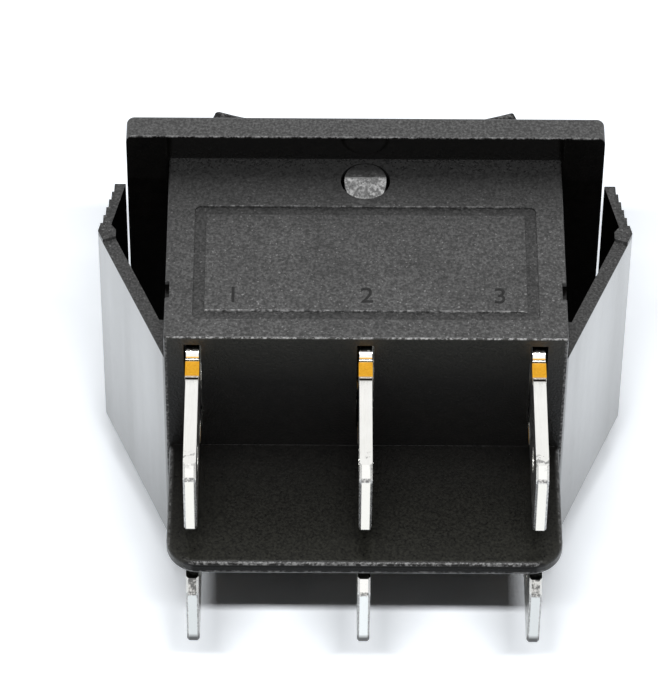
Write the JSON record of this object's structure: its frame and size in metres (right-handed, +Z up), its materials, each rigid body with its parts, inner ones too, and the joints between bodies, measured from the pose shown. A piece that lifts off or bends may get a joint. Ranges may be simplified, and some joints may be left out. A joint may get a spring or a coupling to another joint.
{
  "type": "rocker switch",
  "caption": "Snap-in panel rocker switch with a dished rocker, toothed snap wings and two rows of blade tabs parted by a barrier; it tilts both ways from centre off.",
  "frame": {"origin": "middle of the bezel's back face, in the plane of the panel's front", "axes": "+X along the bezel's long side, +Y towards the rocker, +Z up as the switch lies on its long side with the marked wall on top"},
  "size_m": [0.0344, 0.0317, 0.0254],
  "materials": {
    "housing_plastic": "fine moulded grain",
    "rocker_plastic": "satin",
    "terminal_metal": "tin plated",
    "contact_metal": "silver faced",
    "bar_metal": "bare",
    "spring_steel": "drawn wire",
    "plunger_plastic": "satin"
  },
  "bodies": {
    "base": {"housing": "housing_plastic", "fixed_contact_upper_left": "contact_metal", "fixed_contact_upper_right": "contact_metal", "terminal_upper_left": "terminal_metal", "terminal_upper_common": "terminal_metal", "terminal_upper_right": "terminal_metal", "fixed_contact_lower_left": "contact_metal", "fixed_contact_lower_right": "contact_metal", "terminal_lower_left": "terminal_metal", "terminal_lower_common": "terminal_metal", "terminal_lower_right": "terminal_metal"},
    "rocker": {"rocker": "rocker_plastic", "spring_upper": "spring_steel", "spring_lower": "spring_steel"},
    "bar_upper": {"contact_bar_upper": "bar_metal", "moving_contact_upper_left": "contact_metal", "moving_contact_upper_right": "contact_metal"},
    "plunger_upper": {"plunger_upper": "plunger_plastic"},
    "bar_lower": {"contact_bar_lower": "bar_metal", "moving_contact_lower_left": "contact_metal", "moving_contact_lower_right": "contact_metal"},
    "plunger_lower": {"plunger_lower": "plunger_plastic"}
  },
  "joints": [
    {"name": "rocker_tilt", "type": "hinge", "parent": "base", "child": "rocker", "pos_m": [0, -0.0018, 0], "axis": [0, 0, 1], "range_deg": [-11, 11]},
    {"name": "bar_upper_tilt", "type": "hinge", "parent": "base", "child": "bar_upper", "pos_m": [0, -0.01228, 0.00559], "axis": [0, 0, 1], "range_deg": [-5, 5]},
    {"name": "plunger_upper_slide", "type": "slide", "parent": "rocker", "child": "plunger_upper", "axis": [0, 1, 0], "range_m": [0, 0.0004], "stiffness_N_per_m": 300, "deforming": ["spring_upper"]},
    {"name": "bar_lower_tilt", "type": "hinge", "parent": "base", "child": "bar_lower", "pos_m": [0, -0.01228, -0.00559], "axis": [0, 0, 1], "range_deg": [-5, 5]},
    {"name": "plunger_lower_slide", "type": "slide", "parent": "rocker", "child": "plunger_lower", "axis": [0, 1, 0], "range_m": [0, 0.0004], "stiffness_N_per_m": 300, "deforming": ["spring_lower"]}
  ],
  "couplings": [
    {"joint": "bar_upper_tilt", "follows": "rocker_tilt", "ratio": -0.45},
    {"joint": "bar_lower_tilt", "follows": "rocker_tilt", "ratio": -0.45}
  ]
}
